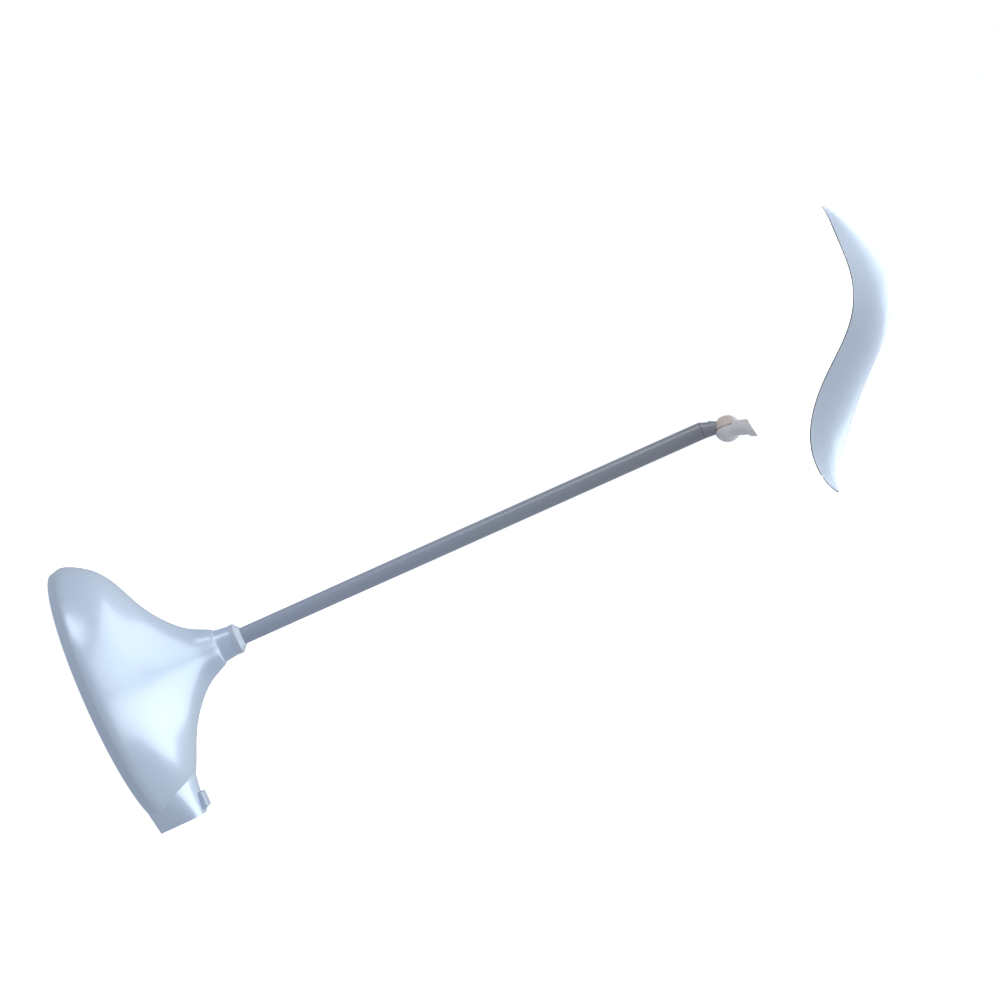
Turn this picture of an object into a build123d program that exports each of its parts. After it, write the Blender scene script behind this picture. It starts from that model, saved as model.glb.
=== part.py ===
"""Table lamp: a trumpet base, a slim stem and a leaf shaped head on a split ball knuckle.

The origin is on the table under the stem's axis. +Z is up, and -Y is the side that the light faces.
"""
from math import cos, radians, sin
import os

from build123d import *

# ---- driving sizes, in millimetres ----

# fits
RUNNING = 0.05
SLIP = 0.15
GAP = 0.35

# base
BASE_RADIUS = 71.0
BASE_WIDEST_Z = 5.0
BASE_WALL = 2.4
SHELL_FOOT_Z = 0.4
NECK_RADIUS = 7.9
NECK_LEAN = -0.10
NECK_TOP_Z = 72.6
NECK_SOLID_Z = NECK_TOP_Z - 22.6
COLLAR_RADIUS = 8.1
COLLAR_RING_TOP_Z = NECK_TOP_Z + 2.6
COLLAR_TOP_Z = NECK_TOP_Z + 5.2
COLLAR_TOP_RADIUS = 5.3

# the trumpet's side: shoulder points measured in from the rim, then shares of the way out and up
SHOULDER = [(1.7, 10.8), (8.4, 20.4), (16.0, 26.0)]
FLANK = [(0.588, 0.424), (0.372, 0.526), (0.198, 0.650), (0.084, 0.785), (0.0285, 0.884)]

# base underside
PLATE_Z = 1.6
PLATE_THICK = 1.6
PLATE_INSET = 0.5
PAD_RADIUS = 7.0
PAD_PLACE_RADIUS = BASE_RADIUS - 15.0
POST_RADIUS = 3.5
POST_PLACE_RADIUS = BASE_RADIUS - 9.5
SCREW_RADIUS = 1.5
SCREW_HEAD_RADIUS = 2.8
SCREW_HEAD_THICK = 1.2
WEIGHT_INNER = 24.0
WEIGHT_OUTER = BASE_RADIUS - 15.5
WEIGHT_HEIGHT = 11.6
WEIGHT_SCREW_PLACE = (WEIGHT_INNER + WEIGHT_OUTER) / 2
WEIGHT_SCREW_RADIUS = 2.0

# inlet housing on the base's right side, with the button on its top
HOUSING_FACE_X = BASE_RADIUS + 4.6
HOUSING_TOP_Z = 23.5
# distance in from the flat face, half width, height, then the side's height at 97, 80 and 40 % of that width
HOUSING_SECTIONS = [
    (25.6, 42.0, HOUSING_TOP_Z + 3.9, 0.35, 0.62, 0.92),
    (12.6, 31.0, HOUSING_TOP_Z + 1.3, 0.42, 0.76, 0.96),
    (0.0, 19.0, HOUSING_TOP_Z, 0.50, 0.88, 0.985),
]
JACK_Z = 9.0
JACK_LENGTH = 13.0
JACK_WIDTH = 9.0
JACK_HEIGHT = 9.6
JACK_BORE_RADIUS = 2.75
JACK_BORE_DEPTH = 10.0
JACK_PIN_RADIUS = 1.0
JACK_NOSE_RADIUS = 4.0
BUTTON_X = HOUSING_FACE_X - 6.4
BUTTON_LENGTH = 8.6
BUTTON_WIDTH = 15.0
BUTTON_PROUD = 3.0
BUTTON_TRAVEL = 1.2
BUTTON_FLANGE = 1.0
BUTTON_FLANGE_THICK = 1.0
BUTTON_FLANGE_DROP = 0.9
SWITCH_BOARD_THICK = 1.2
SWITCH_SIDE = 6.0

# driver board
BOARD_LENGTH = 40.0
BOARD_WIDTH = 24.0
BOARD_THICK = 1.6
BOARD_Z = 18.0
STANDOFF_RADIUS = 2.5
STANDOFF_X = 16.0
STANDOFF_Y = 8.5

# stem
STEM_RADIUS = 4.5
STEM_BORE = 3.5
STEM_BOTTOM_Z = NECK_SOLID_Z - 10.0
STEM_TOP_Z = 339.0
NUT_ACROSS_FLATS = 15.0
NUT_THICK = 5.0
NUT_CORNER_RADIUS = NUT_ACROSS_FLATS / 2 / cos(radians(30))
WASHER_RADIUS = 8.0
WASHER_THICK = 1.2
LEAD_RADIUS = 1.2

# stem tip: swivels in the top of the stem and leans to the ball
SPIGOT_LENGTH = 18.0
SPIGOT_GROOVE_DEPTH = 0.7
SPIGOT_GROOVE_WIDTH = 1.6
TIP_BORE = 1.7
TIP_END_RADIUS = 3.4

# ball knuckle
BALL_X = 4.5
BALL_Z = STEM_TOP_Z + 13.0
BALL_RADIUS = 7.0
BALL_INNER = BALL_RADIUS - 1.6
SEAM_WASHER_THICK = 0.8
SEAM_WASHER_RADIUS = BALL_RADIUS - 0.8
KNUCKLE_TURN = 15.0
KNUCKLE_DROP = 8.0
PIVOT_RADIUS = 1.5
PIVOT_BOSS_RADIUS = 3.5
PIVOT_HEAD_RADIUS = 2.6
PIVOT_HEAD_THICK = 1.6
PIVOT_NUT_FLATS = 4.6
PIVOT_NUT_THICK = 1.6
CAP_RADIUS = 3.2

# head: pose, then its outline along the line between its two points
HEAD_TILT = 40.0
HEAD_ROLL = 20.6
HEAD_LENGTH = 143.0
NECK_ALONG = 0.7427 * HEAD_LENGTH
NECK_BACK = 80.7
NECK_UP = 5.4
NECK_TUBE_RADIUS = 4.0
NECK_PIN_RADIUS = 2.9
NECK_PIN_END_BACK = 44.0
NECK_BORE = 1.8
FERRULE_RADIUS = 5.0
FERRULE_BACK = 63.0
FERRULE_FRONT_BACK = 49.0
RETAINER_RADIUS = 4.7
RETAINER_THICK = 1.5
HEAD_WALL = 2.2
NOSE_SHARE = 0.30
SEAL_THICK = 1.0
SEAL_WIDTH = 3.0
SEAL_INSET = 0.35
DIFFUSER_WALL = 2.0
LED_BOARD_THICK = SEAL_THICK - 0.15
LED_BOARD_INSET = 8.5
LED_SIZE = 3.0
LED_THICK = 0.8
HEAD_POST_RADIUS = 3.0
HEAD_SCREW_RADIUS = 1.1
HEAD_SCREW_HEAD_RADIUS = 2.1
HEAD_SCREW_HEAD_THICK = 1.0

# share of the length, front rim, rear rim, height of the shell over the rim, depth of the diffuser under it
STATIONS = [(share * HEAD_LENGTH, front, rear, height, depth) for share, front, rear, height, depth in [
    (0.0035, -0.35, 0.6, 0.6, 0.3),
    (0.0559, -5.2, 11.5, 11.5, 3.5),
    (0.1399, -10.8, 36.0, 22.0, 7.5),
    (0.2517, -17.0, 56.5, 28.5, 10.5),
    (0.3776, -16.6, 66.0, 30.5, 12.0),
    (0.5035, -6.3, 68.0, 33.5, 12.0),
    (0.6294, 7.5, 63.0, 34.5, 11.0),
    (0.7552, 15.8, 53.0, 31.0, 9.0),
    (0.8671, 15.6, 37.0, 21.0, 6.0),
    (0.9441, 9.6, 20.5, 10.5, 3.0),
    (0.9965, 0.25, 1.0, 0.6, 0.3),
]]

OUT = "parts"
parts = {}


def keep(name, shape):
    """Puts a finished piece on the list that is written at the end."""
    parts[name] = shape
    return shape


def disc(radius, low, high, x=0.0, y=0.0):
    """A vertical cylinder between two heights."""
    return Pos(x, y, (low + high) / 2) * Cylinder(radius, high - low)


def ring(outer, inner, low, high, x=0.0, y=0.0):
    """A vertical ring between two heights."""
    return disc(outer, low, high, x, y) - disc(inner, low - 1, high + 1, x, y)


def block(x_low, x_high, y_low, y_high, z_low, z_high):
    """A box given by its faces."""
    size = Box(x_high - x_low, y_high - y_low, z_high - z_low)
    return Pos((x_low + x_high) / 2, (y_low + y_high) / 2, (z_low + z_high) / 2) * size


def round_places(count, radius, start=0.0):
    """Points spaced evenly on a circle."""
    turns = [radians(start + 360.0 * i / count) for i in range(count)]
    return [(radius * cos(t), radius * sin(t)) for t in turns]


def lead(points, radius, bend):
    """An insulated lead: straight runs joined by bends."""
    path = FilletPolyline(*points, radius=bend) if len(points) > 2 else Polyline(*points)
    start = Plane(origin=path @ 0, z_dir=path % 0)
    return sweep(start * Circle(radius), path=path)


def together(pieces):
    """A group of separate like solids."""
    return Compound(children=[p.solid() for p in pieces])


# ---- base ----

def flank_curve():
    """The right side of the trumpet, from its widest point up to the neck's top."""
    widest = (BASE_RADIUS, BASE_WIDEST_Z)
    shoulder = [(BASE_RADIUS - inward, z) for inward, z in SHOULDER]
    flank = [(NECK_RADIUS + out * (BASE_RADIUS - NECK_RADIUS), up * NECK_TOP_Z) for out, up in FLANK]
    curve = [widest] + shoulder + flank + [(NECK_RADIUS, NECK_TOP_Z)]
    return Spline(*curve, tangents=[(0, 1), (NECK_LEAN, 1)])


def inset_points(curve, inset, count):
    """Points along a curve, moved square to it towards the stem's axis."""
    points = []
    for i in range(count):
        at = i / (count - 1)
        along = curve % at
        points.append(curve @ at + Vector(-along.Y, along.X) * inset)
    return points


def half_outline():
    """The right half of the trumpet's section, solid to the stem's axis."""
    foot = (BASE_RADIUS - 1.2, SHELL_FOOT_Z)
    widest = (BASE_RADIUS, BASE_WIDEST_Z)
    flank = flank_curve()
    rest = Polyline((NECK_RADIUS, NECK_TOP_Z), (0, NECK_TOP_Z), (0, SHELL_FOOT_Z), foot, widest)
    return make_face([flank, rest])


def half_cavity():
    """The right half of the hollow under the trumpet, open at its foot."""
    points = inset_points(flank_curve(), BASE_WALL, 12)
    points = [p for p in points if p.Y < NECK_SOLID_Z - 3 and p.X > NUT_CORNER_RADIUS + 2.4]
    wall_curve = Spline(*points)
    last = points[-1]
    recess = NUT_CORNER_RADIUS + GAP
    rest = Polyline(tuple(last), (recess, last.Y), (recess, NECK_SOLID_Z), (0, NECK_SOLID_Z),
                    (0, SHELL_FOOT_Z - 2), (points[0].X, SHELL_FOOT_Z - 2), tuple(points[0]))
    return make_face([wall_curve, rest])


def turned(face):
    """Turns half a section about the stem's axis."""
    return revolve(Plane.XZ * face, axis=Axis.Z)


def housing_section(station, inset):
    """The housing's outline across the lamp, closed by a straight line well below its foot."""
    inward, half, top, low, middle, high = station
    x = HOUSING_FACE_X - max(inward, inset)
    half = half - inset
    foot = SHELL_FOOT_Z - 4
    rise = top - inset - foot
    side = [(1.0, 0.0), (0.97, low), (0.80, middle), (0.40, high)]
    points = [Vector(x, -across * half, foot + up * rise) for across, up in side]
    points.append(Vector(x, 0, top - inset))
    points = points + [Vector(x, across * half, foot + up * rise) for across, up in reversed(side)]
    curve = Spline(*points, tangents=[Vector(0, 0, 1), Vector(0, 0, -1)])
    return Wire([curve, Line(points[-1], points[0])])


def housing_block(inset):
    """The housing, swelling smoothly out of the trumpet to a flat face."""
    return Solid.make_loft([housing_section(station, inset) for station in HOUSING_SECTIONS])


base_outer = turned(half_outline())
base_cavity = turned(half_cavity())
below_foot = block(0, 2 * BASE_RADIUS, -BASE_RADIUS, BASE_RADIUS, SHELL_FOOT_Z - 20, SHELL_FOOT_Z)
housing_outside = housing_block(0) - below_foot
housing_inside = housing_block(BASE_WALL)

posts = [disc(POST_RADIUS, PLATE_Z + PLATE_THICK, 40, x, y)
         for x, y in round_places(4, POST_PLACE_RADIUS, 45)]
post_holes = [disc(SCREW_RADIUS - 0.2, 0, 14, x, y)
              for x, y in round_places(4, POST_PLACE_RADIUS, 45)]

button_slot = block(BUTTON_X - BUTTON_LENGTH / 2 - SLIP, BUTTON_X + BUTTON_LENGTH / 2 + SLIP,
                    -BUTTON_WIDTH / 2 - SLIP, BUTTON_WIDTH / 2 + SLIP,
                    HOUSING_TOP_Z - 6, HOUSING_TOP_Z + 4)
jack_port = Pos(HOUSING_FACE_X, 0, JACK_Z) * Rot(0, 90, 0) * Cylinder(JACK_NOSE_RADIUS + SLIP, 8)

base_shell = base_outer + housing_outside
base_shell = base_shell - base_cavity
base_shell = base_shell - housing_inside
for post in posts:
    base_shell = base_shell + (post & base_outer)
base_shell = base_shell - disc(STEM_RADIUS + SLIP, 30, 90)
base_shell = base_shell - button_slot
base_shell = base_shell - jack_port
for hole in post_holes:
    base_shell = base_shell - hole
keep("base_shell", base_shell)

collar_side = make_face(Polyline((STEM_RADIUS + SLIP, NECK_TOP_Z), (COLLAR_RADIUS, NECK_TOP_Z),
                                 (COLLAR_RADIUS, COLLAR_RING_TOP_Z), (COLLAR_TOP_RADIUS, COLLAR_TOP_Z),
                                 (STEM_RADIUS + SLIP, COLLAR_TOP_Z), close=True))
keep("stem_collar", revolve(Plane.XZ * collar_side, axis=Axis.Z))

# base plate, with pads, screws and the weight that stands on it
plate_top = PLATE_Z + PLATE_THICK
plate_radius = BASE_RADIUS - BASE_WALL - PLATE_INSET
base_plate = disc(plate_radius, PLATE_Z, plate_top)
for x, y in round_places(4, POST_PLACE_RADIUS, 45):
    base_plate = base_plate - disc(SCREW_RADIUS + SLIP, 0, 5, x, y)
for x, y in round_places(3, WEIGHT_SCREW_PLACE, 30):
    base_plate = base_plate - disc(WEIGHT_SCREW_RADIUS + SLIP, 0, 5, x, y)
for x, y in [(-STANDOFF_X, -STANDOFF_Y), (STANDOFF_X, STANDOFF_Y)]:
    base_plate = base_plate - disc(SCREW_RADIUS + SLIP, 0, 5, x, y)
keep("base_plate", base_plate)
pad_places = [(0, 0)] + round_places(4, PAD_PLACE_RADIUS)
keep("foot_pads", together([fillet(disc(PAD_RADIUS, 0, PLATE_Z, x, y).edges().group_by(Axis.Z)[0], 0.4)
                            for x, y in pad_places]))


def machine_screw(radius, head_radius, head_low, head_thick, tip_z, x, y):
    """A screw driven upwards: a head under the plate and a shank above it."""
    head = disc(head_radius, head_low, head_low + head_thick, x, y)
    slot = block(x - head_radius, x + head_radius, y - 0.35, y + 0.35, head_low - 1, head_low + 0.5)
    return head + disc(radius, head_low + head_thick, tip_z, x, y) - slot


screw_low = PLATE_Z - SCREW_HEAD_THICK
keep("base_screws", together([machine_screw(SCREW_RADIUS - 0.2, SCREW_HEAD_RADIUS, screw_low,
                                            SCREW_HEAD_THICK, 12, x, y)
                              for x, y in round_places(4, POST_PLACE_RADIUS, 45)]))
weight = ring(WEIGHT_OUTER, WEIGHT_INNER, plate_top, plate_top + WEIGHT_HEIGHT)
for x, y in round_places(3, WEIGHT_SCREW_PLACE, 30):
    weight = weight - disc(WEIGHT_SCREW_RADIUS, 0, 11, x, y)
keep("counterweight", weight)
keep("weight_screws", together([machine_screw(WEIGHT_SCREW_RADIUS, SCREW_HEAD_RADIUS + 0.8, screw_low,
                                              SCREW_HEAD_THICK, 10.5, x, y)
                                for x, y in round_places(3, WEIGHT_SCREW_PLACE, 30)]))

# driver board on two standoffs
standoff_places = [(-STANDOFF_X, -STANDOFF_Y), (STANDOFF_X, STANDOFF_Y)]
keep("board_standoffs", together([ring(STANDOFF_RADIUS, SCREW_RADIUS, plate_top, BOARD_Z, x, y)
                                  for x, y in standoff_places]))
board = block(-BOARD_LENGTH / 2, BOARD_LENGTH / 2, -BOARD_WIDTH / 2, BOARD_WIDTH / 2,
              BOARD_Z, BOARD_Z + BOARD_THICK)
for x, y in standoff_places:
    board = board - disc(SCREW_RADIUS + SLIP, 0, 40, x, y)
keep("driver_board", board)
board_top = BOARD_Z + BOARD_THICK
keep("board_screws", together([disc(SCREW_HEAD_RADIUS, board_top, board_top + 1.2, x, y)
                               + disc(SCREW_RADIUS - SLIP, board_top - 8, board_top, x, y)
                               for x, y in standoff_places]))
keep("driver_choke", ring(4.6, 1.4, board_top, board_top + 6.5, -4, 5) +
     disc(5.4, board_top, board_top + 0.8, -4, 5) - disc(1.4, board_top - 1, board_top + 9, -4, 5))
keep("driver_capacitors", together([disc(2.6, board_top, board_top + 9, 6, -7),
                                    disc(2.6, board_top, board_top + 9, 12, -7)]))
keep("driver_chips", together([block(-3, 3, -7, -2, board_top, board_top + 1.4),
                               block(-14, -10, -1, 4, board_top, board_top + 1.2),
                               block(5, 9, 3, 6, board_top, board_top + 2.2)]))

# power inlet behind the housing's flat face
jack_inner_x = HOUSING_FACE_X - BASE_WALL - GAP - JACK_LENGTH
jack_face_x = HOUSING_FACE_X - BASE_WALL - GAP
jack_floor = JACK_Z - JACK_HEIGHT / 2
jack_roof = JACK_Z + JACK_HEIGHT / 2
inlet = block(jack_inner_x, jack_face_x, -JACK_WIDTH / 2, JACK_WIDTH / 2, jack_floor, jack_roof)
along_x = Rot(0, 90, 0)
inlet_front_x = HOUSING_FACE_X - 0.4
nose_length = inlet_front_x - jack_face_x
nose_place = Pos(jack_face_x + nose_length / 2, 0, JACK_Z)
inlet = inlet + nose_place * along_x * Cylinder(JACK_NOSE_RADIUS, nose_length)
inlet = inlet - Pos(inlet_front_x - JACK_BORE_DEPTH / 2, 0, JACK_Z) * along_x * Cylinder(
    JACK_BORE_RADIUS, JACK_BORE_DEPTH)
keep("inlet_socket", inlet)
pin_end_x = inlet_front_x - 0.8
pin_start_x = inlet_front_x - JACK_BORE_DEPTH
inlet_pin = Pos((pin_end_x + pin_start_x) / 2, 0, JACK_Z) * along_x * Cylinder(
    JACK_PIN_RADIUS, pin_end_x - pin_start_x)
keep("inlet_pin", inlet_pin)

# button, and the switch that it presses
flange_top = HOUSING_TOP_Z - BASE_WALL - BUTTON_FLANGE_DROP
flange_low = flange_top - BUTTON_FLANGE_THICK
cap = block(BUTTON_X - BUTTON_LENGTH / 2, BUTTON_X + BUTTON_LENGTH / 2, -BUTTON_WIDTH / 2, BUTTON_WIDTH / 2,
            flange_low, HOUSING_TOP_Z + BUTTON_PROUD)
cap = fillet(cap.edges().filter_by(Axis.Z), 1.5)
cap = fillet(cap.edges().group_by(Axis.Z)[-1], 1.0)
half_length = BUTTON_LENGTH / 2 + BUTTON_FLANGE
inward_x = min(BUTTON_X + half_length, HOUSING_FACE_X - BASE_WALL - GAP)
flange = block(BUTTON_X - half_length, inward_x, -BUTTON_WIDTH / 2 - BUTTON_FLANGE,
               BUTTON_WIDTH / 2 + BUTTON_FLANGE, flange_low, flange_top)
keep("power_button", cap + flange)
switch_board_low = jack_roof
switch_board_top = switch_board_low + SWITCH_BOARD_THICK
keep("switch_board", block(BUTTON_X - 5.5, BUTTON_X + 3, -10, 10, switch_board_low, switch_board_top))
switch_top = flange_low - BUTTON_TRAVEL - 0.1
keep("button_switch", block(BUTTON_X - SWITCH_SIDE / 2, BUTTON_X + SWITCH_SIDE / 2, -SWITCH_SIDE / 2,
                            SWITCH_SIDE / 2, switch_board_top, switch_top))

# leads inside the base
over_weight = plate_top + WEIGHT_HEIGHT + 2.2
over_board = board_top + 4
lead_in_x = jack_inner_x - 2.4
lead_out_x = BOARD_LENGTH / 2 - 2
keep("inlet_lead", lead([(jack_inner_x, 3, JACK_Z + 2), (lead_in_x, 3, JACK_Z + 2), (lead_in_x, 3, over_weight),
                         (lead_out_x, 3, over_board), (lead_out_x, 3, board_top)], 0.9, 1.1))
keep("switch_lead", lead([(BUTTON_X - 5.9, -7, switch_board_top - 0.3), (lead_in_x, -7, over_weight),
                          (lead_out_x, -7, over_board), (lead_out_x, -7, board_top)], 0.6, 1.1))

# ---- stem ----

keep("stem_tube", ring(STEM_RADIUS, STEM_BORE, STEM_BOTTOM_Z, STEM_TOP_Z))
washer_low = NECK_SOLID_Z - WASHER_THICK
keep("stem_washer", ring(WASHER_RADIUS, STEM_RADIUS + SLIP, washer_low, NECK_SOLID_Z))
nut_low = washer_low - NUT_THICK
nut_face = RegularPolygon(NUT_ACROSS_FLATS / 2, 6, major_radius=False)
keep("stem_nut", Pos(0, 0, nut_low) * extrude(nut_face, NUT_THICK) - disc(STEM_RADIUS, 30, 60))
lead_top_z = STEM_TOP_Z - SPIGOT_LENGTH - GAP
keep("stem_lead", lead([(2, -3, board_top + 1.5), (2, -3, board_top + 9), (0, 0, STEM_BOTTOM_Z - 2),
                        (0, 0, lead_top_z)], LEAD_RADIUS, 4))

# ---- stem tip and ball knuckle ----

ball_centre = Vector(BALL_X, 0, BALL_Z)
drop = radians(KNUCKLE_DROP)
turn = radians(KNUCKLE_TURN)
knuckle_dir = Vector(cos(turn) * cos(drop), -sin(turn), -cos(turn) * sin(drop))
knuckle = Plane(origin=ball_centre, x_dir=(0, 0, 1), z_dir=knuckle_dir).location
seam_half = SEAM_WASHER_THICK / 2
big = 60.0


def beyond(sign, start):
    """A large block on one side of the seam, in the knuckle's own frame."""
    return Pos(0, 0, sign * (start + big / 2)) * Box(big, big, big)


def half_ball(sign):
    """One hollow half of the ball with a boss for the pivot, in the knuckle's own frame."""
    solid = Sphere(BALL_RADIUS) & beyond(sign, seam_half)
    hollow = Sphere(BALL_INNER) & beyond(sign, seam_half - 1)
    boss = (Cylinder(PIVOT_BOSS_RADIUS, 2 * BALL_RADIUS) & Sphere(BALL_RADIUS - 0.2)) & beyond(sign, seam_half)
    return (solid - hollow) + boss - Cylinder(PIVOT_RADIUS + SLIP, 4 * BALL_RADIUS)


tip_top = Vector(BALL_X * 0.42, 0, BALL_Z - BALL_RADIUS * 0.72)
tip_dir = (ball_centre - tip_top).normalized()
spigot_low = STEM_TOP_Z - SPIGOT_LENGTH
tip_shoulder = Plane.XY.offset(STEM_TOP_Z + 0.2) * Circle(STEM_RADIUS)
tip_end = Plane(origin=tip_top, z_dir=tip_dir) * Circle(TIP_END_RADIUS)
tip_body = loft([tip_shoulder, tip_end], ruled=True)
root = Plane(origin=tip_top, z_dir=tip_dir) * Cylinder(TIP_END_RADIUS, 9)
spigot = disc(STEM_BORE - RUNNING, spigot_low, STEM_TOP_Z + 0.2)
groove_low = spigot_low + 4
spigot = spigot - (disc(STEM_BORE + 1, groove_low, groove_low + SPIGOT_GROOVE_WIDTH)
                   - disc(STEM_BORE - SPIGOT_GROOVE_DEPTH, groove_low - 1, groove_low + 4))
bore_path = [(0, 0, spigot_low - 2), (0, 0, STEM_TOP_Z + 1.5), tuple(tip_top + tip_dir * 2.2)]
moving_zone = knuckle * (Sphere(BALL_RADIUS + GAP) & beyond(1, -seam_half))
inside_ball = knuckle * Sphere(BALL_RADIUS - 0.4)
stem_tip = (tip_body + (root - inside_ball)) - moving_zone - inside_ball + spigot
stem_tip = stem_tip - lead(bore_path, TIP_BORE, 3)
stem_tip = max(stem_tip.solids(), key=lambda s: s.volume)
ball_shell_fixed = knuckle * half_ball(-1)
ball_shell_fixed = ball_shell_fixed - lead(bore_path, TIP_BORE, 3)
stem_tip = stem_tip - (knuckle * Sphere(BALL_RADIUS))
keep("stem_tip", max(stem_tip.solids(), key=lambda s: s.volume))
fixed_nut_pocket = knuckle * Pos(0, 0, -BALL_RADIUS) * extrude(
    RegularPolygon(PIVOT_NUT_FLATS / 2 + 0.1, 6, major_radius=False), 3.4)
keep("ball_rear_half", ball_shell_fixed - fixed_nut_pocket)
groove_ring = ring(STEM_BORE - 0.02, STEM_BORE - SPIGOT_GROOVE_DEPTH, groove_low + 0.1,
                   groove_low + SPIGOT_GROOVE_WIDTH - 0.1)
keep("swivel_friction_ring", groove_ring)
keep("seam_washer", knuckle * (Cylinder(SEAM_WASHER_RADIUS, SEAM_WASHER_THICK)
                               - Cylinder(BALL_INNER, 4) + (Cylinder(PIVOT_BOSS_RADIUS, SEAM_WASHER_THICK)
                                                            - Cylinder(PIVOT_RADIUS + SLIP, 4))))

# ---- head frame ----

head_turn = Location(ball_centre) * Rotation(0, HEAD_ROLL, 0) * Rotation(-HEAD_TILT, 0, 0)
head = head_turn * Pos(-NECK_ALONG, -NECK_BACK, -NECK_UP)
back = Rot(-90, 0, 0)
neck_axis_place = Pos(NECK_ALONG, 0, NECK_UP)


def along_neck(radius, back_low, back_high):
    """A cylinder on the neck's axis between two distances behind the head's front line."""
    return neck_axis_place * Pos(0, (back_low + back_high) / 2, 0) * back * Cylinder(
        radius, back_high - back_low)


# ---- neck: carried by the front half of the ball ----

neck_end = FERRULE_BACK + GAP
neck_tube = head * (along_neck(NECK_TUBE_RADIUS, neck_end, NECK_BACK - 3)
                    + along_neck(NECK_PIN_RADIUS, NECK_PIN_END_BACK, neck_end))
fixed_zone = knuckle * (Sphere(BALL_RADIUS + GAP) & beyond(-1, -seam_half - 0.1))
neck_hole = head * along_neck(NECK_BORE, NECK_PIN_END_BACK - 2, NECK_BACK - BALL_INNER + 1)
neck = neck_tube - (knuckle * Sphere(BALL_RADIUS)) - fixed_zone - neck_hole
keep("neck", max(neck.solids(), key=lambda s: s.volume))
front_half = knuckle * half_ball(1)
head_pocket = knuckle * Pos(0, 0, BALL_RADIUS - 3) * extrude(Circle(PIVOT_HEAD_RADIUS + SLIP), 6)
cap_pocket = knuckle * Pos(0, 0, BALL_RADIUS - 1.3) * extrude(Circle(CAP_RADIUS + 0.05), 6)
front_half = front_half - neck_hole
keep("ball_front_half", max((front_half - head_pocket - cap_pocket).solids(), key=lambda s: s.volume))
keep("ball_cap", knuckle * (Sphere(BALL_RADIUS) & (Pos(0, 0, BALL_RADIUS) * Cylinder(CAP_RADIUS, 2.6))))
pivot_low = -BALL_RADIUS + 1.6
pivot_head_low = BALL_RADIUS - 3
pivot = (Pos(0, 0, (pivot_low + pivot_head_low) / 2) * Cylinder(PIVOT_RADIUS, pivot_head_low - pivot_low)
         + Pos(0, 0, pivot_head_low) * extrude(Circle(PIVOT_HEAD_RADIUS), PIVOT_HEAD_THICK))
keep("pivot_screw", knuckle * pivot)
nut = Pos(0, 0, -BALL_RADIUS + 3.4 - PIVOT_NUT_THICK) * extrude(
    RegularPolygon(PIVOT_NUT_FLATS / 2, 6, major_radius=False), PIVOT_NUT_THICK)
keep("pivot_nut", knuckle * (nut - Cylinder(PIVOT_RADIUS, 40)))

# ---- head shell and diffuser ----


def drawn_in(points, middle, across, up):
    """A section's points, drawn in evenly towards the middle of its straight side."""
    return [(middle + (b - middle) * across, w * up) for b, w in points]


def section(along, level, edge_points, tangents):
    """One closed cross-section: a curve over the rims and a straight line back between them."""
    points = [Vector(along, b, level + w) for b, w in edge_points]
    curve = Spline(*points, tangents=[Vector(0, b, w) for b, w in tangents])
    return Wire([curve, Line(points[-1], points[0])])


def shell_section(station, wall, level):
    """The shell's section: a round nose in front, falling to a thin rear edge."""
    along, front, rear, height, depth = station
    nose = NOSE_SHARE * height
    width = rear - front
    points = [(front, 0),
              (front - nose, 0.48 * height),
              (front + 0.18 * width, height),
              (front + 0.55 * width, 0.90 * height),
              (rear - 0.12 * width, 0.56 * height),
              (rear, 0)]
    inner = drawn_in(points, (front + rear) / 2, 1 - 2 * wall / width, 1 - wall / height)
    return section(along, level, inner, [(-1, 0.8), (0.1, -1)])


def belly_section(station, wall, level):
    """The diffuser's section: a shallow belly between the same two rims."""
    along, front, rear, height, depth = station
    width = rear - front
    points = [(front, 0),
              (front + 0.22 * width, -0.82 * depth),
              (front + 0.60 * width, -depth),
              (front + 0.86 * width, -0.62 * depth),
              (rear, 0)]
    inner = drawn_in(points, (front + rear) / 2, 1 - 2 * wall / width, 1 - wall / depth)
    return section(along, level, inner, [(0.25, -1), (0.15, 1)])


inner_stations = [s for s in STATIONS if s[3] > 4 * HEAD_WALL]
belly_stations = [s for s in STATIONS if s[4] > 2 * DIFFUSER_WALL]
shell_outer = Solid.make_loft([shell_section(s, 0, 0) for s in STATIONS])
shell_inner = Solid.make_loft([shell_section(s, HEAD_WALL, -0.01) for s in inner_stations])
belly_top = -SEAL_THICK
belly_outer = Solid.make_loft([belly_section(s, 0, belly_top) for s in STATIONS])
belly_inner = Solid.make_loft([belly_section(s, DIFFUSER_WALL, belly_top + 0.01) for s in belly_stations])


def leaf(inset):
    """The head's flat outline, drawn in by an even amount."""
    tip = 2.0 * inset
    inside = [s for s in STATIONS if tip + 2 < s[0] < HEAD_LENGTH - tip - 2 and s[2] - s[1] > 2 * inset + 4]
    first = (tip, inset * 0.9)
    last = (HEAD_LENGTH - tip, inset * 0.35)
    front = Spline(first, *[(s[0], s[1] + inset) for s in inside], last)
    rear = Spline(last, *[(s[0], s[2] - inset) for s in reversed(inside)], first)
    return make_face([front, rear])


def slab(inset, low, high):
    """A flat plate of the leaf's outline."""
    return Pos(0, 0, low) * extrude(leaf(inset), high - low)


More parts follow.
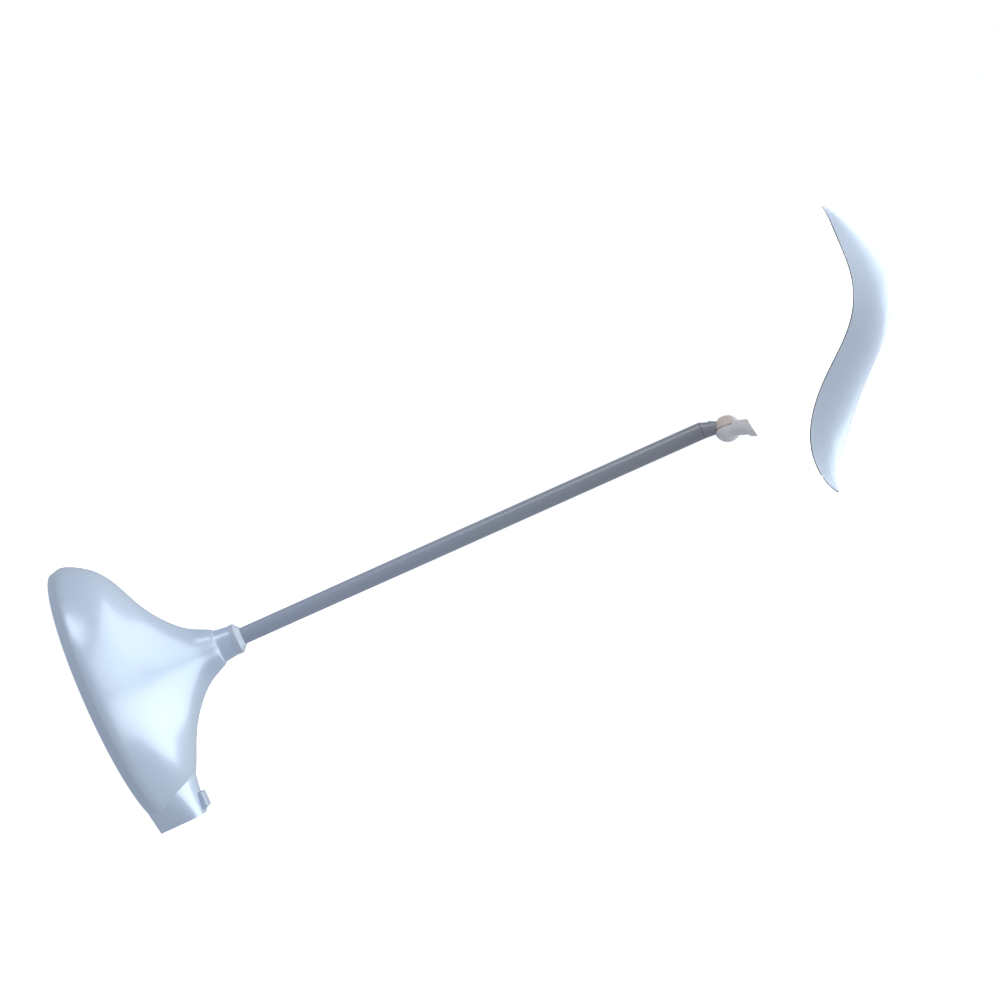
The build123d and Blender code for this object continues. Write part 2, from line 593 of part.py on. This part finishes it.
# posts for the board inside the shell
head_posts = [(0.31 * HEAD_LENGTH, 12.0), (0.60 * HEAD_LENGTH, 46.0), (0.46 * HEAD_LENGTH, 12.0)]
shell = shell_outer - shell_inner
for along, b in head_posts:
    post = Pos(along, b, 20) * Cylinder(HEAD_POST_RADIUS, 40)
    shell = shell + (post & shell_outer)
    shell = shell - Pos(along, b, 0) * Cylinder(HEAD_SCREW_RADIUS - 0.1, 18)
shell = shell - along_neck(FERRULE_RADIUS + 0.05, FERRULE_FRONT_BACK - 6, FERRULE_BACK + 20)
keep("head_shell", head * max(shell.solids(), key=lambda s: s.volume))

seal = slab(SEAL_INSET, -SEAL_THICK, 0) - slab(SEAL_INSET + SEAL_WIDTH, -SEAL_THICK - 1, 1)
keep("rim_seal", head * seal)
keep("diffuser", head * max((belly_outer - belly_inner).solids(), key=lambda s: s.volume))

# light board, hung from the posts
board_stations = [s for s in STATIONS if s[2] - s[1] > 3.5 * LED_BOARD_INSET]
board_front = [(s[0], s[1] + LED_BOARD_INSET) for s in board_stations]
board_rear = [(s[0], s[2] - LED_BOARD_INSET) for s in reversed(board_stations)]
board_face = make_face(Spline(*board_front, *board_rear, periodic=True))
led_board = Pos(0, 0, -LED_BOARD_THICK) * extrude(board_face, LED_BOARD_THICK)
for along, b in head_posts:
    led_board = led_board - Pos(along, b, 0) * Cylinder(HEAD_SCREW_RADIUS + SLIP, 10)
keep("led_board", head * led_board)
led_rows = [(0.21, 8.0), (0.21, 26.0), (0.21, 43.0), (0.34, 0.0), (0.34, 24.0), (0.34, 44.0), (0.43, 30.0),
            (0.43, 54.0), (0.53, 10.0), (0.53, 28.0), (0.53, 54.0), (0.64, 22.0), (0.64, 48.0),
            (0.74, 28.0), (0.74, 41.0), (0.82, 29.0)]
led_places = [(share * HEAD_LENGTH, b) for share, b in led_rows]
keep("leds", head * together([Pos(a, b, -LED_BOARD_THICK - LED_THICK / 2) * Box(LED_SIZE, LED_SIZE, LED_THICK)
                              for a, b in led_places]))
screws = []
for along, b in head_posts:
    shank = Pos(along, b, 4 - LED_BOARD_THICK) * Cylinder(HEAD_SCREW_RADIUS - 0.1, 8)
    screw_head = Pos(along, b, -LED_BOARD_THICK - HEAD_SCREW_HEAD_THICK / 2) * Cylinder(
        HEAD_SCREW_HEAD_RADIUS, HEAD_SCREW_HEAD_THICK)
    screws.append(shank + screw_head)
keep("head_screws", head * together(screws))

# ferrule, fixed in the shell's rear wall: the neck's pin turns in it
ferrule = along_neck(FERRULE_RADIUS, FERRULE_FRONT_BACK, FERRULE_BACK)
ferrule = ferrule - along_neck(NECK_PIN_RADIUS + RUNNING, FERRULE_FRONT_BACK - 5, FERRULE_BACK + 5)
keep("neck_ferrule", head * ferrule)
retainer_high = FERRULE_FRONT_BACK - 0.8 - 0.1
spring_washer = along_neck(RETAINER_RADIUS, retainer_high, FERRULE_FRONT_BACK - 0.05)
spring_washer = spring_washer - along_neck(NECK_PIN_RADIUS, retainer_high - 2, FERRULE_FRONT_BACK + 2)
keep("neck_washer", head * spring_washer)
retainer = along_neck(RETAINER_RADIUS, retainer_high - RETAINER_THICK, retainer_high)
retainer = retainer - along_neck(NECK_PIN_RADIUS, retainer_high - 9, retainer_high + 9)
keep("neck_retainer", head * retainer)
head_lead_start = NECK_PIN_END_BACK - 1.0
keep("head_lead", head * lead([(NECK_ALONG, head_lead_start, NECK_UP), (NECK_ALONG, head_lead_start - 8, NECK_UP),
                               (NECK_ALONG - 14, head_lead_start - 14, 5), (NECK_ALONG - 22, head_lead_start - 14, 5),
                               (NECK_ALONG - 26, head_lead_start - 14, 1.0)], 0.9, 2.0))

os.makedirs(OUT, exist_ok=True)
for name, shape in parts.items():
    export_step(shape, os.path.join(OUT, name + ".step"))
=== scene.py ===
import math

import bpy
from mathutils import Matrix, Vector


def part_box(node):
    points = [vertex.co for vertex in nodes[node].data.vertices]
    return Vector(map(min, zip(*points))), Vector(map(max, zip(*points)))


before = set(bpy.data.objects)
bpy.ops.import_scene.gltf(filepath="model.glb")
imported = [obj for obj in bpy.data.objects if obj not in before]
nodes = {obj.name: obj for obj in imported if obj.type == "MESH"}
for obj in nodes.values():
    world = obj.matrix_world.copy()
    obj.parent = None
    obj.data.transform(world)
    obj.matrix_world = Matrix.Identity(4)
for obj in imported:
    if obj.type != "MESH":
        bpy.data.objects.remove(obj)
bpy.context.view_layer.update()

# ---- camera, table and light ----
# The lamp stands on a pale table top under a soft ceiling light that is split in two by a bar.
# The camera looks level at about half the lamp's height, and is rolled over on its side.

scene = bpy.context.scene
scene.view_settings.view_transform = "Standard"
stem_low, stem_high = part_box("stem_tube")
stem_x = (stem_low.x + stem_high.x) / 2

camera_distance = 1.4
camera_height = 0.2288
camera_side = -0.0099
camera_roll = 65.9
picture_width = 0.52
camera_reach = 60
camera_data = bpy.data.cameras.new("camera")
camera_data.sensor_width = 36.0
camera_data.lens = camera_data.sensor_width * camera_distance / picture_width
camera_data.clip_end = camera_reach
camera = bpy.data.objects.new("camera", camera_data)
scene.collection.objects.link(camera)
stand_point = Matrix.Translation((stem_x + camera_side, -camera_distance, camera_height))
level = Matrix.Rotation(math.radians(90), 4, "X")
rolled = Matrix.Rotation(math.radians(camera_roll), 4, "Z")
camera.matrix_world = stand_point @ level @ rolled
scene.camera = camera


class Wire:
    """A node's output. Arithmetic on it adds the Math node that does it."""

    def __init__(self, tree, socket):
        self.tree = tree
        self.socket = socket

    def math(self, operation, first, second=0.0):
        node = self.tree.nodes.new("ShaderNodeMath")
        node.operation = operation
        for place, value in enumerate((first, second)):
            if isinstance(value, Wire):
                self.tree.links.new(value.socket, node.inputs[place])
            else:
                node.inputs[place].default_value = value
        return Wire(self.tree, node.outputs[0])

    def __add__(self, other):
        return self.math("ADD", self, other)

    def __sub__(self, other):
        return self.math("SUBTRACT", self, other)

    def __rsub__(self, other):
        return self.math("SUBTRACT", other, self)

    def __mul__(self, other):
        return self.math("MULTIPLY", self, other)

    __radd__ = __add__
    __rmul__ = __mul__

    def clamp(self):
        return self.math("MINIMUM", self.math("MAXIMUM", self, 0.0), 1.0)


class Finish:
    """A material with one shader, and the one way that nodes are added to it."""

    def __init__(self, name, **constants):
        self.material = bpy.data.materials.new(name)
        self.material.use_nodes = True
        self.tree = self.material.node_tree
        self.shader = self.tree.nodes["Principled BSDF"]
        for socket, value in constants.items():
            self.shader.inputs[socket.replace("_", " ")].default_value = value

    def node(self, kind, settings=None, output=0, **inputs):
        """Adds a node of any kind. Its settings are made first, then its inputs by their names."""
        node = self.tree.nodes.new("ShaderNode" + kind)
        for name, value in (settings or {}).items():
            if name == "stops":
                for element, (place, colour) in zip(node.color_ramp.elements, value):
                    element.position = place
                    element.color = (*colour, 1.0)
            else:
                setattr(node, name, value)
        for name, value in inputs.items():
            socket = node.inputs[name.replace("_", " ")]
            if isinstance(value, Wire):
                self.tree.links.new(value.socket, socket)
            else:
                socket.default_value = value
        return Wire(self.tree, node.outputs[output])

    def tones(self, amount, first, last, start=0.3, end=0.7):
        """A colour that goes from first to last as an amount goes from start to end."""
        return self.node("ValToRGB", {"stops": ((start, first), (end, last))}, Fac=amount)

    def place(self):
        """The point on the piece, in metres, in the lamp's own frame."""
        return self.node("TexCoord", output=3)

    def noise(self, scale, detail=2.0, stretch=(1, 1, 1)):
        spread = self.node("Mapping", Vector=self.place(), Scale=stretch)
        return self.node("TexNoise", Vector=spread, Scale=scale, Detail=detail)

    def bump(self, height, strength, distance=0.0005):
        return self.node("Bump", Height=height, Strength=strength, Distance=distance)

    def drive(self, **links):
        """Joins wires to the shader's own sockets."""
        for name, wire in links.items():
            self.tree.links.new(wire.socket, self.shader.inputs[name.replace("_", " ")])

    def paint(self, *names):
        """Gives the finish to these pieces of the frame."""
        for name in names:
            slots = nodes[name].material_slots
            if not slots:
                nodes[name].data.materials.append(self.material)
            for slot in slots:
                slot.material = self.material


def soft_panel(name, size, place, aim, power, colour):
    data = bpy.data.lights.new(name, "AREA")
    data.shape = "RECTANGLE"
    data.size, data.size_y = size
    data.energy = power
    data.color = colour
    light = bpy.data.objects.new(name, data)
    light.location = place
    light.rotation_mode = "QUATERNION"
    light.rotation_quaternion = (Vector(aim) - Vector(place)).to_track_quat("-Z", "Y")
    scene.collection.objects.link(light)


# the bar is the gap between the two ceiling panels
panel_size = (1.1, 3.6)
panel_x = 0.64
panel_y = 0.2
ceiling = 1.7
for name, x, power, colour in (("ceiling_left", -panel_x, 18, (0.90, 0.96, 1.0)),
                               ("ceiling_right", panel_x, 25, (0.92, 0.99, 1.0))):
    soft_panel(name, panel_size, (x, panel_y, ceiling), (x, panel_y, 0), power, colour)
window_size = (0.7, 1.2)
window_place = (-1.6, -0.6, 0.7)
lamp_middle = (0, 0, 0.25)
soft_panel("left_window", window_size, window_place, lamp_middle, 7, (0.94, 0.97, 1.0))

world = bpy.data.worlds.new("room")
world.use_nodes = True
room_light = world.node_tree.nodes["Background"]
room_light.inputs["Color"].default_value = (0.82, 0.88, 1.0, 1)
room_light.inputs["Strength"].default_value = 0.50
scene.world = world


def curved_sheet(name, radius, rings, rise, flat_share=0.55, sides=96):
    """A round sheet whose outer part curves up, as a photographer's backdrop does."""
    points = [(0.0, 0.0, 0.0)]
    for r in range(1, rings + 1):
        share = r / rings
        height = rise * (max(0.0, share - flat_share) / (1 - flat_share)) ** 2
        for s in range(sides):
            turn = 2 * math.pi * s / sides
            points.append((radius * share * math.cos(turn), radius * share * math.sin(turn), height))
    faces = [(0, 1 + s, 1 + (s + 1) % sides) for s in range(sides)]
    for r in range(rings - 1):
        for s in range(sides):
            a = 1 + r * sides + s
            b = 1 + r * sides + (s + 1) % sides
            faces.append((a, a + sides, b + sides, b))
    mesh = bpy.data.meshes.new(name)
    mesh.from_pydata(points, [], faces)
    mesh.polygons.foreach_set("use_smooth", [True] * len(faces))
    sheet = bpy.data.objects.new(name, mesh)
    scene.collection.objects.link(sheet)
    return sheet


floor = curved_sheet("floor", radius=9.0, rings=30, rise=7.0)
pale_floor = Finish("pale_floor", Base_Color=(0.90, 0.91, 0.92, 1),
                    Emission_Color=(1, 1, 1, 1), Emission_Strength=0.62)
speckle = pale_floor.noise(4.0)
pale_floor.drive(Roughness=speckle * 0.1 + 0.8)
floor.data.materials.append(pale_floor.material)
# the backdrop's own glow is for the picture alone, so that it neither lights nor shows in the lamp
floor.visible_diffuse = False
floor.visible_glossy = False

# ---- base shell and inlet housing ----
# A glossy trumpet moulding in a cool white resin, hollow inside. It swells on its right into a
# flat-faced housing for the power inlet. It is polished, with faint flow marks and fine scratches.
gloss_white = Finish("gloss_white", Metallic=0.25, IOR=1.5, Coat_Weight=0.6, Coat_Roughness=0.13)
flow = gloss_white.noise(9.0, 3.0, (1, 1, 2.5))
fine = gloss_white.noise(900.0)
gloss_white.drive(Base_Color=gloss_white.tones(flow, (0.53, 0.62, 0.74), (0.60, 0.68, 0.79)),
                  Roughness=fine * 0.06 + (flow * 0.08 + 0.26),
                  Normal=gloss_white.bump(flow, 0.06, 0.001))
gloss_white.paint("base_shell")

# ---- base plate ----
# A pressed steel plate that closes the base from below. It is powder coated in black, and four
# screws hold it to posts in the shell.
black_paint = Finish("black_paint", Base_Color=(0.03, 0.03, 0.032, 1), Specular_IOR_Level=0.4)
orange_peel = black_paint.noise(1400.0)
black_paint.drive(Normal=black_paint.bump(orange_peel, 0.25), Roughness=orange_peel * 0.2 + 0.4)
black_paint.paint("base_plate")

# ---- foot pads and friction ring ----
# Black moulded rubber. The pads are glued under the plate, and the ring sits in the stem tip's
# groove, where it keeps the head from swinging freely.
pad_rubber = Finish("pad_rubber", Base_Color=(0.025, 0.025, 0.025, 1))
grit = pad_rubber.noise(2600.0)
pad_rubber.drive(Normal=pad_rubber.bump(grit, 0.4), Roughness=grit * 0.2 + 0.72)
pad_rubber.paint("foot_pads", "swivel_friction_ring")

# ---- weight ----
# A ring of raw cast iron, bolted on top of the plate to keep the lamp upright. Its skin is rough
# from the sand it was cast in.
raw_iron = Finish("raw_iron", Metallic=0.7)
cast_skin = raw_iron.noise(350.0, 5.0)
raw_iron.drive(Base_Color=raw_iron.tones(cast_skin, (0.06, 0.06, 0.065), (0.16, 0.15, 0.15)),
               Normal=raw_iron.bump(cast_skin, 0.6), Roughness=cast_skin * 0.3 + 0.45)
raw_iron.paint("counterweight")

# ---- screws and washers ----
# Bought steel hardware with a bright zinc plate, which is slightly cloudy. It holds the plate, the
# weight, the driver board, the stem, the knuckle and the light board.
zinc = Finish("zinc_plate", Metallic=1.0)
bloom = zinc.noise(700.0, 3.0)
zinc.drive(Base_Color=zinc.tones(bloom, (0.50, 0.51, 0.53), (0.66, 0.66, 0.65)),
           Roughness=bloom * 0.25 + 0.2)
zinc.paint("base_screws", "weight_screws", "board_screws", "stem_washer", "pivot_screw", "head_screws",
           "neck_washer")

# ---- brass nuts, pillars, retainer and inlet pin ----
# Turned from brass bar, with faint lathe marks round them. The pillars carry the driver board, the
# nuts clamp the stem and the knuckle, and the retainer keeps the neck's pin in the head.
brass = Finish("turned_brass", Metallic=1.0)
lathe = brass.noise(500.0, 2.0, (1, 1, 12))
brass.drive(Base_Color=brass.tones(lathe, (0.60, 0.42, 0.16), (0.74, 0.55, 0.26)),
            Roughness=lathe * 0.2 + 0.18, Normal=brass.bump(lathe, 0.15))
brass.paint("board_standoffs", "inlet_pin", "stem_nut", "pivot_nut", "neck_retainer")

# ---- driver board and switch board ----
# Glass fibre boards under a green solder mask, in which the weave shows faintly. The driver board
# feeds the light at a steady current, and the small one carries the button's switch.
board_green = Finish("board_green")
mask = board_green.noise(260.0, 4.0)
board_green.drive(Base_Color=board_green.tones(mask, (0.01, 0.09, 0.04), (0.02, 0.16, 0.07), 0.42, 0.55),
                  Roughness=mask * 0.2 + 0.3)
board_green.paint("driver_board", "switch_board")

# ---- black moulded parts ----
# The capacitors, chips, switch and inlet socket have bodies of black moulded resin with a fine
# spark-eroded grain.
moulded_black = Finish("moulded_black", Base_Color=(0.02, 0.02, 0.022, 1))
spark = moulded_black.noise(1800.0)
moulded_black.drive(Normal=moulded_black.bump(spark, 0.3), Roughness=spark * 0.2 + 0.5)
moulded_black.paint("driver_capacitors", "driver_chips", "button_switch", "inlet_socket")

# ---- choke ----
# Enamelled copper wire wound on a small core. The turns show as bands round it, with painted shade
# between them and a painted highlight on top of each.
copper = Finish("wound_copper", Metallic=0.9)
turns_and_painted_shade = copper.node("TexWave", {"bands_direction": "Z"}, Vector=copper.place(), Scale=900.0)
# painted shade between the turns and painted highlight on their tops; the same bands also drive the bump
copper.drive(Base_Color=copper.tones(turns_and_painted_shade, (0.16, 0.06, 0.02), (0.62, 0.28, 0.12), 0.1, 0.6),
             Normal=copper.bump(turns_and_painted_shade, 0.6), Roughness=0.5 - turns_and_painted_shade * 0.2)
copper.paint("driver_choke")

# ---- leads ----
# Two-core leads in a soft black sleeve, slightly scuffed. They join the inlet, the switch, the
# driver board and the light board.
lead_sleeve = Finish("lead_sleeve", Base_Color=(0.02, 0.02, 0.025, 1))
scuff = lead_sleeve.noise(1200.0)
lead_sleeve.drive(Normal=lead_sleeve.bump(scuff, 0.2), Roughness=scuff * 0.25 + 0.4)
lead_sleeve.paint("stem_lead", "head_lead", "inlet_lead", "switch_lead")

# ---- push button ----
# A small glossy cap on top of the inlet housing. It sits in a slot and is pushed down against
# the switch under it; handling has worn it unevenly.
button_white = Finish("button_white", Coat_Weight=0.5, Coat_Roughness=0.05)
worn = button_white.noise(500.0)
button_white.drive(Base_Color=button_white.tones(worn, (0.46, 0.53, 0.65), (0.52, 0.59, 0.71)),
                   Roughness=worn * 0.12 + 0.12)
button_white.paint("power_button")

# ---- stem and stem tip ----
# A drawn steel tube in satin blue-grey paint, with faint draw marks along it. The tip turns in the
# top of the tube and leans over into the ball. Painted shade darkens the paint towards the ball, and
# the foot is painted lighter and bluer, as if lit by the room.
satin_grey = Finish("satin_grey", Metallic=0.15, Coat_Weight=0.25, Coat_Roughness=0.2)
draw_marks = satin_grey.noise(420.0, 2.0, (1, 1, 0.02))
# painted shade: the colour darkens with height, from light blue-grey at the foot to dark grey near the
# ball
shade_start_height = 0.08
shade_fade_length = 0.30
height_up = satin_grey.node("SeparateXYZ", output=2, Vector=satin_grey.place())
painted_shade_share = (height_up * (1 / shade_fade_length) - shade_start_height / shade_fade_length).clamp()
satin_grey.drive(Base_Color=satin_grey.tones(painted_shade_share, (0.37, 0.42, 0.51), (0.25, 0.25, 0.26), 0.0, 1.0),
                 Roughness=draw_marks * 0.2 + 0.25, Normal=satin_grey.bump(draw_marks, 0.08))
satin_grey.paint("stem_tube", "stem_tip")

# ---- stem collar ----
# A turned and painted ring that covers the joint between the trumpet's neck and the stem. Fine
# turning marks run round it.
collar_grey = Finish("collar_grey", Coat_Weight=0.3)
ring_marks = collar_grey.noise(600.0, 2.0, (0.2, 0.2, 8))
collar_grey.drive(Base_Color=collar_grey.tones(ring_marks, (0.50, 0.56, 0.64), (0.56, 0.62, 0.70)),
                  Roughness=ring_marks * 0.15 + 0.22)
collar_grey.paint("stem_collar")

# ---- ball knuckle's front half, cap and neck ----
# The ball is split in two halves with a nylon washer between them. The front half, its cap and the
# neck are satin moulded resin in a warm white.
soft_depth = (0.003, 0.002, 0.001)
warm_white = Finish("warm_white", Subsurface_Weight=0.08, Subsurface_Radius=soft_depth)
grain = warm_white.noise(1500.0)
warm_white.drive(Base_Color=warm_white.tones(grain, (0.80, 0.77, 0.75), (0.85, 0.82, 0.79)),
                 Roughness=grain * 0.15 + 0.3, Normal=warm_white.bump(grain, 0.12))
warm_white.paint("ball_front_half", "ball_cap", "neck", "neck_ferrule", "seam_washer")

# ---- ball knuckle's rear half ----
# The half that stays with the stem tip. It is moulded in satin resin like the front half, a little
# less shiny, with a pink tint painted on for the warm light that falls on it from the diffuser.
# painted light: the pinker tone stands for the diffuser's warm glow on this half
glow_tinted_white = Finish("glow_tinted_white", Subsurface_Weight=0.08, Subsurface_Radius=soft_depth)
pink_grain = glow_tinted_white.noise(1500.0)
glow_tinted_white.drive(Base_Color=glow_tinted_white.tones(pink_grain, (0.70, 0.58, 0.52), (0.76, 0.63, 0.56)),
                 Roughness=pink_grain * 0.15 + 0.34, Normal=glow_tinted_white.bump(pink_grain, 0.12))
glow_tinted_white.paint("ball_rear_half")

# ---- head shell ----
# The opaque leaf over the light, moulded like the base in a cool white and polished. Its front is
# a full round nose that follows the wave of the rim.
leaf_white = Finish("leaf_white", IOR=1.48, Metallic=0.1, Coat_Weight=0.15, Coat_Roughness=0.25)
leaf_flow = leaf_white.noise(14.0, 3.0)
leaf_fine = leaf_white.noise(1100.0)
leaf_white.drive(Base_Color=leaf_white.tones(leaf_flow, (0.72, 0.80, 0.90), (0.76, 0.84, 0.94)),
                 Roughness=leaf_fine * 0.08 + 0.36, Normal=leaf_white.bump(leaf_fine, 0.04))
leaf_white.paint("head_shell")

# ---- rim seal ----
# A dark grey-green strip of soft rubber between the shell and the diffuser, which keeps dust out
# and shows as a thin line along the rim.
seal_rubber = Finish("seal_rubber", Base_Color=(0.05, 0.07, 0.065, 1))
seal_grain = seal_rubber.noise(2200.0)
seal_rubber.drive(Roughness=seal_grain * 0.2 + 0.6, Normal=seal_rubber.bump(seal_grain, 0.2))
seal_rubber.paint("rim_seal")

# ---- light board ----
# An aluminium board with a white coat that throws stray light back down. It hangs from three posts
# in the shell.
coated_board = Finish("coated_board")
coat = coated_board.noise(300.0)
coated_board.drive(Base_Color=coated_board.tones(coat, (0.78, 0.79, 0.80), (0.86, 0.87, 0.88)),
                   Roughness=coat * 0.2 + 0.35)
coated_board.paint("led_board")

# ---- lights ----
# Small packages soldered under the board, each filled with a warm phosphor that glows unevenly.
# They shine down into the diffuser.
phosphor = Finish("phosphor", Base_Color=(0.9, 0.75, 0.3, 1), Roughness=0.5, Emission_Strength=3.0)
dots = phosphor.noise(1500.0)
phosphor.drive(Emission_Color=phosphor.tones(dots, (1.0, 0.90, 0.72), (1.0, 0.94, 0.80)))
phosphor.paint("leds")

# ---- diffuser ----
# A milky resin belly under the leaf. It glows evenly when the lamp is on, and painted shade makes it
# look a little warmer and dimmer where it is seen edge on.
milk = Finish("milk", Base_Color=(0.45, 0.45, 0.45, 1), Roughness=0.35, Emission_Strength=1.25)
cloud = milk.noise(30.0)
edge_on_painted_shade = milk.node("LayerWeight", output=1, Blend=0.30)
# painted shade: the glow colour is warmed and dimmed by the viewing angle, darkest where seen edge on
milk.drive(Emission_Color=milk.tones(edge_on_painted_shade * 0.97 + cloud * 0.03, (1.0, 0.985, 0.96), (0.52, 0.49, 0.44),
                                     0.72, 1.0))
milk.paint("diffuser")
